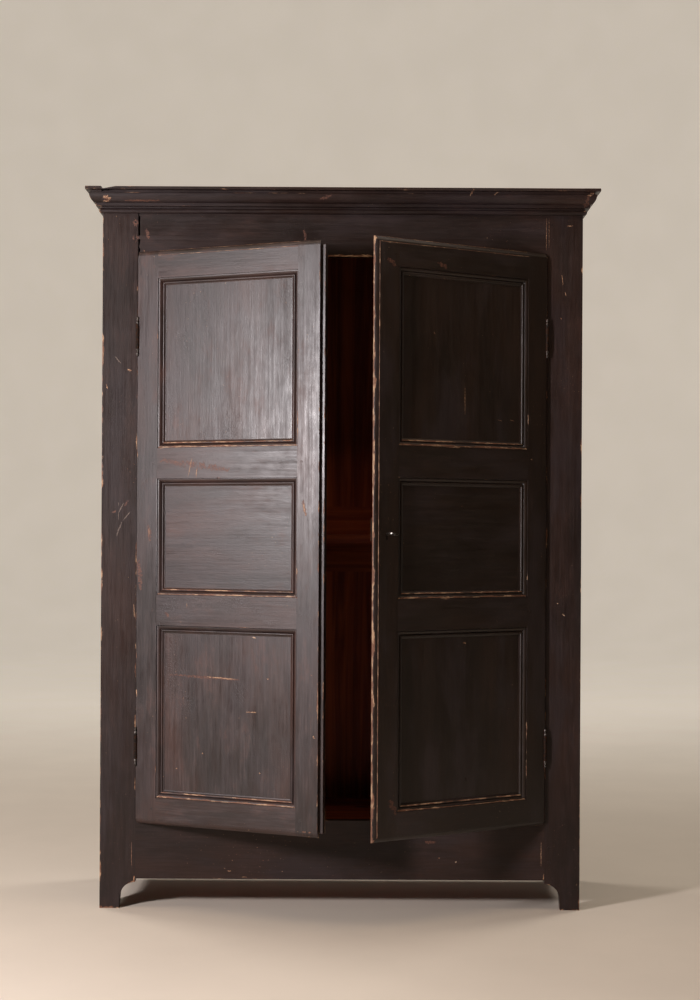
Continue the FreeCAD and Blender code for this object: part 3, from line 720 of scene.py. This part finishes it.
def damage(bm, node):
    """The open joint at the rail's left shoulder, and the notch in the crown beside the left butt joint."""
    if node == "top_rail":
        shoulder = BOXES["carcass"]["left_stile"][HIGH][ACROSS]
        for vertex in bm.verts:
            if abs(vertex.co.x - shoulder) < NEAR:
                vertex.co.x += OPEN_JOINT
    if node == "cornice_front":
        low, high = BOXES["carcass"][node]
        width, height, depth = CROWN_NOTCH
        for vertex in bm.verts:
            if vertex.co.x < low[ACROSS] + width and vertex.co.z > high[UP] - height:
                vertex.co.z -= depth


def grain_offset(node):
    """Where a member's grain starts, so that no two members show the same figure."""
    return np.array(GRAIN_OFFSETS) * sum(map(ord, node)) % GRAIN_PERIOD


def worn_board(node, body, material, grain_axis):
    """A worn copy of a CAD member, which carries where its grain runs and how near each open arris is."""
    bm, lines = divided(node, body)
    points = np.array([v.co for v in bm.verts])
    order = [grain_axis] + [axis for axis in range(3) if axis != grain_axis]
    grain = points[:, order] + grain_offset(node)
    distance = edge_distances(points, node, lines)
    for face in bm.faces:
        face.smooth = True
    mark_arrises(bm, node, body)
    damage(bm, node)
    bmesh.ops.rotate(bm, verts=bm.verts, matrix=TURNS[body])
    mesh = bpy.data.meshes.new("worn_" + node)
    bm.to_mesh(mesh)
    bm.free()
    add_wear(mesh, grain, distance)
    mesh.materials.append(material)
    piece = bpy.data.objects.new("worn_" + node, mesh)
    scene.collection.objects.link(piece)
    soften(piece, ARRIS_ROUND, "WEIGHT")
    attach(piece, body)
    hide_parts(node)


def moulding_outline():
    """The section of a panel moulding, from its outer edge inward: a fillet, a splay and a bead."""
    (across, level), (half_width, rise) = MOULDING_BEAD_SHARES
    turns = [math.pi * (1 - step / MOULDING_BEAD_STEPS) for step in range(MOULDING_BEAD_STEPS + 1)]
    bead = [(across + half_width * math.cos(turn), level + rise * math.sin(turn)) for turn in turns]
    return [*MOULDING_FILLET_SHARES, *MOULDING_SPLAY_SHARES, *bead, *MOULDING_FOOT_SHARES]


def panel_moulding(node, body, material):
    """The four mitred lengths of moulding round a panel, the bottom one rubbed pale on its fillet and bead crest:
    painted highlight on the upward-facing moulding, drawn as wear.
    """
    bm = bmesh.new()
    low, high = BOXES[body][node]
    height = high[INWARD] - low[INWARD]
    shares = moulding_outline()
    outline = [(MOULDING_WIDTH * across, high[INWARD] - height * rise) for across, rise in shares]
    splay = len(MOULDING_FILLET_SHARES)
    crest = splay + len(MOULDING_SPLAY_SHARES) + MOULDING_BEAD_STEPS // 2
    # Only the bottom member is rubbed pale, on its fillet and bead crest: painted highlight along the
    # upward-facing moulding
    rubbed = {splay - 2: 0.0, splay - 1: 0.0, splay: CREST_HIGHLIGHT_SLOPE, crest - 1: CREST_HIGHLIGHT_SLOPE}
    rubbed.update({crest + step: CREST_HIGHLIGHT_WEAR for step in range(CREST_STEPS)})
    grain, wear = [], []
    # Sides and corners count from the bottom left to the right, and on round the panel.
    for side in range(4):
        ends = []
        for corner in (side, (side + 1) % 4):
            right, top = corner in (1, 2), corner in (2, 3)
            ring = []
            for index, (inset, level) in enumerate(outline):
                x = high[ACROSS] - inset if right else low[ACROSS] + inset
                z = high[UP] - inset if top else low[UP] + inset
                ring.append(bm.verts.new((x, level, z)))
                grain.append((x, level, z) if side % 2 == 0 else (z, level, x))
                wear.append(rubbed.get(index, EDGE_REACH) if side == 0 else EDGE_REACH)
            ends.append(ring)
        near, far = ends
        for first, second in zip(range(len(outline)), [*range(1, len(outline)), 0]):
            bm.faces.new((near[first], near[second], far[second], far[first]))
        bm.faces.new(near[::-1])
        bm.faces.new(far)
    bmesh.ops.recalc_face_normals(bm, faces=bm.faces)
    for edge in bm.edges:
        edge.smooth = edge.calc_face_angle(0.0) < ARRIS_ANGLE
    bmesh.ops.rotate(bm, verts=bm.verts, matrix=TURNS[body])
    piece = new_piece("moulded_" + node, bm, body, material)
    add_wear(piece.data, np.array(grain) + grain_offset(node), np.array(wear))
    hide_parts(node)


def add_wear(mesh, grain, distance):
    """Gives a mesh what the paint reads: where the grain runs and how near each open arris is."""
    mesh.attributes.new("grain", "FLOAT_VECTOR", "POINT").data.foreach_set("vector", grain.ravel())
    mesh.attributes.new("edge", "FLOAT", "POINT").data.foreach_set("value", distance)


def soften(piece, width, limit):
    """Rounds a piece's arrises, all of them or by their weights."""
    bevel = piece.modifiers.new("arris", "BEVEL")
    bevel.width = width
    bevel.segments = ARRIS_SEGMENTS
    bevel.limit_method = limit
    bevel.angle_limit = ARRIS_ANGLE
    bevel.harden_normals = True


def dress(piece, material, width):
    """Gives a CAD piece its material and rounds its arrises."""
    piece.data.materials.clear()
    piece.data.materials.append(material)
    soften(piece, width, "ANGLE")


# Small pieces, and the spots of the part that the photograph shows

Spot = namedtuple("Spot", "place normal body")


def new_piece(name, bm, body, material):
    """Turns a finished bmesh into a smooth piece on a body."""
    for face in bm.faces:
        face.smooth = True
    mesh = bpy.data.meshes.new(name)
    bm.to_mesh(mesh)
    bm.free()
    mesh.materials.append(material)
    piece = bpy.data.objects.new(name, mesh)
    scene.collection.objects.link(piece)
    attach(piece, body)
    return piece


def photo_ray(x, y):
    """The direction in which the camera sees a pixel of the photograph."""
    width, height = PHOTO_SIZE_PX
    # Blender's shift counts in the longer side of the frame, and so does its sensor fit.
    longer = max(width, height)
    across = (x - width / 2) / longer
    up = (height / 2 - y) / longer + CAMERA_SHIFT
    towards = Vector((across * CAMERA_SENSOR, up * CAMERA_SENSOR, -CAMERA_LENS)).normalized()
    return CAMERA_TURN.to_3x3() @ towards


def seen_at(x, y):
    """The spot that the photograph shows at a pixel, or None beside the part."""
    eye = Vector(CAMERA_PLACE)
    tree, owners = ALL_SURFACES
    place, normal, index, _ = tree.ray_cast(eye, photo_ray(x, y))
    return None if place is None else Spot(place, normal, body_of[owners[index]])


def scuff(sheets, mark, lift, dice):
    """A ragged flake along a line in the photograph, laid on the faces that show there."""
    x0, y0, x1, y1, width = mark
    length = math.hypot(x1 - x0, y1 - y0)
    aside_x, aside_y = -(y1 - y0) / length, (x1 - x0) / length
    count = max(SCUFF_LEAST_STEPS, round(length / SCUFF_STEP_PX))
    columns = max(1, round(width / SCUFF_STEP_PX))
    start, rest = SCUFF_SWELL
    rows = []
    for step in range(count + 1):
        share = step / count
        swell = math.sin(math.pi * (start + rest * share))
        before, after = (width / 2 * swell * dice.uniform(*SCUFF_RAGGEDNESS) for _ in range(2))
        middle = width * dice.uniform(-SCUFF_STRAY, SCUFF_STRAY)
        x, y = x0 + (x1 - x0) * share, y0 + (y1 - y0) * share
        row = []
        for column in range(columns + 1):
            off = middle - before + (before + after) * column / columns
            row.append(seen_at(x + aside_x * off, y + aside_y * off))
        rows.append(row)
    body = next((spot.body for row in rows for spot in row if spot), None)
    if body in TURNS:
        if body not in sheets:
            sheets[body] = bmesh.new()
        lay_flake(sheets[body], rows, body, lift)


def lay_flake(bm, rows, body, lift):
    """Joins neighbouring spots that lie on one stretch of a body."""
    corners = []
    for row in rows:
        on_body = [spot if spot and spot.body == body else None for spot in row]
        corners.append([bm.verts.new(spot.place + spot.normal * lift) if spot else None for spot in on_body])
    for low, high in zip(corners, corners[1:]):
        for column in range(len(low) - 1):
            corner = (low[column], low[column + 1], high[column + 1], high[column])
            if None in corner:
                continue
            if max((a.co - b.co).length for a in corner for b in corner) < SCUFF_REACH:
                bm.faces.new(corner)
    bmesh.ops.delete(bm, geom=[vertex for vertex in bm.verts if not vertex.link_faces], context="VERTS")


def scuffs(name, marks, lift, material):
    """The scuffs of one kind, as one piece on each body that shows them."""
    dice = random.Random(name)
    sheets = {}
    for mark in marks:
        scuff(sheets, mark, lift, dice)
    for body, bm in sheets.items():
        new_piece(f"{name}_{body}", bm, body, material)


def lathe(bm, middle, outline):
    """A turned form about an upright axis, from (radius, level) pairs."""
    rings = []
    for radius, level in outline:
        ring = []
        for side in range(LATHE_SIDES):
            turn = 2 * math.pi * side / LATHE_SIDES
            spoke = Vector((radius * math.cos(turn), radius * math.sin(turn), level))
            ring.append(bm.verts.new(middle + spoke))
        rings.append(ring)
    for below, above in zip(rings, rings[1:]):
        for side in range(LATHE_SIDES):
            ahead = (side + 1) % LATHE_SIDES
            bm.faces.new((below[side], below[ahead], above[ahead], above[side]))
    bmesh.ops.remove_doubles(bm, verts=bm.verts, dist=WELD)


def turned_pins(node, material):
    """The hinge pins of one side, with their tips turned to a bead and a bud."""
    bm = bmesh.new()
    low, high = BOXES["carcass"][node]
    middle = Vector(((low[ACROSS] + high[ACROSS]) / 2, (low[INWARD] + high[INWARD]) / 2, 0.0))
    levels = [vertex.co.z for vertex in frame["nodes"][node].data.vertices]
    split = (low[UP] + high[UP]) / 2
    for group in ([z for z in levels if z < split], [z for z in levels if z > split]):
        foot, head = min(group) + PIN_TIP_LENGTH, max(group) - PIN_TIP_LENGTH
        tip = [(PIN_TIP_RADIUS * radius, PIN_TIP_LENGTH * rise) for radius, rise in PIN_OUTLINE_SHARES]
        outline = [(radius, foot - rise) for radius, rise in reversed(tip)]
        outline += [(PIN_RADIUS, foot), (PIN_RADIUS, head)]
        outline += [(radius, head + rise) for radius, rise in tip]
        lathe(bm, middle, outline)
    piece = new_piece("turned_" + node, bm, "carcass", material)
    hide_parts(node)


def stud(bm, place, outward, radius, rise, slot_turn=None):
    """A domed nail head, or a screw head with a slot, standing on a face."""
    outward = outward.normalized()
    first = outward.orthogonal().normalized()
    second = outward.cross(first)
    rings = []
    for share, level in STUD_RING_SHARES:
        ring = []
        for side in range(STUD_SIDES):
            turn = 2 * math.pi * side / STUD_SIDES
            spoke = first * math.cos(turn) + second * math.sin(turn)
            ring.append(bm.verts.new(place + spoke * radius * share + outward * rise * level))
        rings.append(ring)
    peak = bm.verts.new(place + outward * rise)
    for below, above in zip(rings, rings[1:]):
        for side in range(STUD_SIDES):
            ahead = (side + 1) % STUD_SIDES
            bm.faces.new((below[side], below[ahead], above[ahead], above[side]))
    for side in range(STUD_SIDES):
        bm.faces.new((rings[-1][side], rings[-1][(side + 1) % STUD_SIDES], peak))
    if slot_turn is not None:
        spoke = first * math.cos(slot_turn) + second * math.sin(slot_turn)
        for vertex in [peak] + [v for ring in rings[1:] for v in ring]:
            away = vertex.co - place
            aside = away - spoke * away.dot(spoke) - outward * away.dot(outward)
            if aside.length < radius * SLOT_SHARE:
                vertex.co -= outward * SCREW_SLOT


def back_nails(material):
    """Nail heads where the back boards meet the rails and boards that carry them."""
    bm = bmesh.new()
    dice = random.Random("nails")
    for name, (low, high) in BOXES["carcass"].items():
        if name.startswith("back_board"):
            for level in NAIL_LEVELS:
                for x in (low[ACROSS] + NAIL_INSET, high[ACROSS] - NAIL_INSET):
                    across = x + dice.uniform(-NAIL_STRAY_ACROSS, NAIL_STRAY_ACROSS)
                    up = level + dice.uniform(-NAIL_STRAY_UP, NAIL_STRAY_UP)
                    stud(bm, Vector((across, high[INWARD], up)), BACKWARD, NAIL_RADIUS, NAIL_RISE)
    new_piece("back_nails", bm, "carcass", material)


def plate_screws(node, body, material):
    """The screws at the corners of a lock plate, on its face towards the cupboard's inside."""
    bm = bmesh.new()
    low, high = BOXES[body][node]
    corners = [(x, z) for x in (low[ACROSS] + SCREW_INSET, high[ACROSS] - SCREW_INSET)
               for z in (low[UP] + SCREW_INSET, high[UP] - SCREW_INSET)]
    dice = random.Random(node)
    for x, z in corners:
        place = Vector((x, high[INWARD], z))
        stud(bm, place, BACKWARD, SCREW_RADIUS, SCREW_RISE, dice.uniform(0, math.pi))
    bmesh.ops.rotate(bm, verts=bm.verts, matrix=TURNS[body])
    new_piece(node + "_screws", bm, body, material)


# Stage, camera and light


def stage_material():
    """A pale, faintly uneven surface that glows far behind the part, where it is seen or reflected."""
    material, tree, shader = new_material("stage")
    place = row_place(tree)
    shade = noise(tree, place, *STAGE_FIELD)
    dimmed = tuple(STAGE_DIMMING * value for value in STAGE_COLOUR)
    tint = mixed(tree, span(tree, shade, *STAGE_SHADE_SPAN), STAGE_COLOUR, dimmed)
    link_or_set(tree, shader.inputs["Base Color"], tint)
    link_or_set(tree, shader.inputs["Emission Color"], tint)
    rays = add(tree, "ShaderNodeLightPath", {})
    seen = math_of(tree, "MAXIMUM", rays.outputs["Is Camera Ray"], rays.outputs["Is Glossy Ray"])
    seen = math_of(tree, "MAXIMUM", seen, rays.outputs["Is Transmission Ray"])
    depth = add(tree, "ShaderNodeSeparateXYZ", {0: place}).outputs["Y"]
    glow = span(tree, depth, *STAGE_GLOW_SPAN)
    link_or_set(tree, shader.inputs["Emission Strength"], product(tree, seen, glow))
    shader.inputs["Roughness"].default_value = STAGE_ROUGHNESS
    return material


def stage_dish():
    """A pale round floor that bends up into a wall, far enough out to hold the camera of any view."""
    outline = [(STAGE_RADIUS * step / STAGE_BENDS, 0.0) for step in range(1, STAGE_BENDS + 1)]
    for step in range(1, STAGE_BENDS + 1):
        turn = math.pi / 2 * step / STAGE_BENDS
        outline.append((STAGE_RADIUS + STAGE_BEND * math.sin(turn), STAGE_BEND * (1 - math.cos(turn))))
    outline.append((STAGE_RADIUS + STAGE_BEND, STAGE_HEIGHT))
    points = [(0.0, 0.0, 0.0)]
    for radius, level in outline:
        for side in range(STAGE_SIDES):
            turn = 2 * math.pi * side / STAGE_SIDES
            points.append((radius * math.cos(turn), radius * math.sin(turn), level))
    faces = []
    for side in range(STAGE_SIDES):
        ahead = (side + 1) % STAGE_SIDES
        faces.append((0, 1 + side, 1 + ahead))
        for ring in range(len(outline) - 1):
            low = 1 + ring * STAGE_SIDES
            high = low + STAGE_SIDES
            faces.append((low + side, high + side, high + ahead, low + ahead))
    mesh = bpy.data.meshes.new("stage")
    mesh.from_pydata(points, [], faces)
    for face in mesh.polygons:
        face.use_smooth = True
    mesh.materials.append(stage_material())
    stage = bpy.data.objects.new("stage", mesh)
    scene.collection.objects.link(stage)


def area_light(name, place, aim, size, power, colour):
    """A lamp that the camera doesn't see."""
    light = bpy.data.lights.new(name, "AREA")
    light.shape = "RECTANGLE"
    light.size, light.size_y = size
    light.energy = power
    light.color = colour
    lamp = bpy.data.objects.new(name, light)
    lamp.location = place
    lamp.rotation_euler = (Vector(aim) - Vector(place)).to_track_quat("-Z", "Y").to_euler()
    lamp.visible_camera = False
    scene.collection.objects.link(lamp)


def camera():
    """The camera of the photograph."""
    data = bpy.data.cameras.new("camera")
    data.sensor_width = CAMERA_SENSOR
    data.lens = CAMERA_LENS
    data.shift_y = CAMERA_SHIFT
    eye = bpy.data.objects.new("camera", data)
    eye.matrix_world = Matrix.Translation(CAMERA_PLACE) @ CAMERA_TURN
    scene.collection.objects.link(eye)
    scene.camera = eye


def room():
    """A dim light from all round."""
    world = bpy.data.worlds.new("room")
    world.use_nodes = True
    background = world.node_tree.nodes["Background"]
    background.inputs["Color"].default_value = (*ROOM_LIGHT, 1.0)
    background.inputs["Strength"].default_value = ROOM_STRENGTH
    scene.world = world


# The cupboard's pieces

paints = {name: painted_wood(name, *settings) for name, settings in PAINTS.items()}
metals = {name: worn_metal(name, *settings) for name, settings in METALS.items()}
UPRIGHT_MEMBERS = ("hinge_stile", "meeting_stile", "bottom_panel", "top_panel")
LEVEL_MEMBERS = ("bottom_rail", "lower_rail", "upper_rail", "top_rail", "middle_panel")
for name in ("left_stile", "right_stile", "left_side", "right_side"):
    worn_board(name, "carcass", paints["frame_paint"], UP)
for name in ("top_rail", "bottom_rail", "cornice_front"):
    worn_board(name, "carcass", paints["frame_paint"], ACROSS)
for name in ("left_cornice", "right_cornice", "frame_pegs"):
    worn_board(name, "carcass", paints["frame_paint"], INWARD)
for door in ("left_door", "right_door"):
    # Each door takes its own copy of the paint, lighter on the left and darker on the right: painted light and
    # shade
    paint = paints[door + "_paint"]
    for name in UPRIGHT_MEMBERS:
        worn_board(f"{door}_{name}", door, paint, UP)
    for name in LEVEL_MEMBERS:
        worn_board(f"{door}_{name}", door, paint, ACROSS)
    for name in ("bottom_moulding", "middle_moulding", "top_moulding"):
        panel_moulding(f"{door}_{name}", door, paint)
    worn_board(f"{door}_pegs", door, paint, INWARD)
for kind, (marks, lift, first, second, rough) in SCUFFS.items():
    scuffs(kind + "_scuffs", marks, lift, scuffed("scuff_" + kind, first, second, rough))
for name in ("left_hinge_pins", "right_hinge_pins"):
    turned_pins(name, metals["pin_iron"])
back_nails(metals["iron"])
plate_screws("lock_case", "right_door", metals["key_steel"])
plate_screws("lock_keeper", "left_door", metals["key_steel"])

slots = {entry["node"]: entry["material_slot"] for entry in frame["record"]["subparts"]}
boards = [name for name in frame["nodes"] if slots[name] == "stained_pine"]
for count, name in enumerate(boards, start=1):
    scale = UPRIGHT_GRAIN if name.startswith("back_board") else LEVEL_GRAIN
    pine = stained_pine("stained_pine_" + name, scale, BOARD_SHIFT * count)
    dress(frame["nodes"][name], pine, BOARD_ROUND)
for name, piece in frame["nodes"].items():
    if slots[name] in metals:
        dress(piece, metals[slots[name]], PLATE_ROUND)

stage_dish()
for name, settings in LAMPS.items():
    area_light(name, *settings)
room()
camera()
scene.view_settings.view_transform = "Standard"
